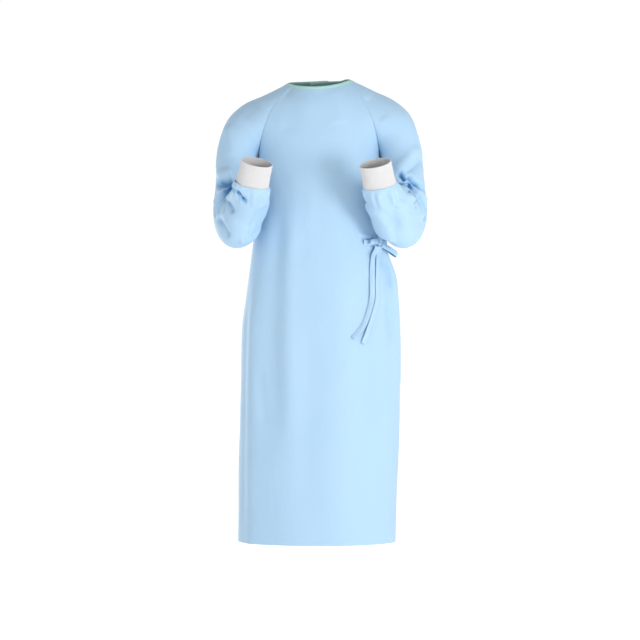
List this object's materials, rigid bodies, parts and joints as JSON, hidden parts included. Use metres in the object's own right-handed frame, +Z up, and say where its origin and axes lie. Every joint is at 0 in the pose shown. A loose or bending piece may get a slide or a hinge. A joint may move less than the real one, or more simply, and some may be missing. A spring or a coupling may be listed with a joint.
{
  "type": "surgical gown",
  "caption": "Long-sleeved wrap-back surgical gown, worn and hollow, with raglan sleeves, knit cuffs, bound neck and a side waist tie in a bow.",
  "frame": {"origin": "middle of the neck opening, level with the side points of the neck, where the gown hangs from the wearer's shoulders", "axes": "+Z up; -Y is the way the wearer faces; +X is the wearer's left, where the bow is tied"},
  "size_m": [0.5728, 0.4746, 1.2511],
  "materials": {
    "cloth": "matte nonwoven",
    "knit": "matte rib knit",
    "binding": "matte",
    "tape": "matte"
  },
  "bodies": {
    "root": {"front": "cloth", "back_inner": "cloth", "back_outer": "cloth", "sleeve_left": "cloth", "sleeve_right": "cloth", "cuff_left": "knit", "cuff_right": "knit", "neck_binding": "binding", "neck_tab": "tape", "tie_back": "cloth", "tie_front": "cloth", "knot": "cloth", "loop_back": "cloth", "loop_front": "cloth", "tail_inner": "cloth", "tail_outer": "cloth"}
  },
  "joints": []
}
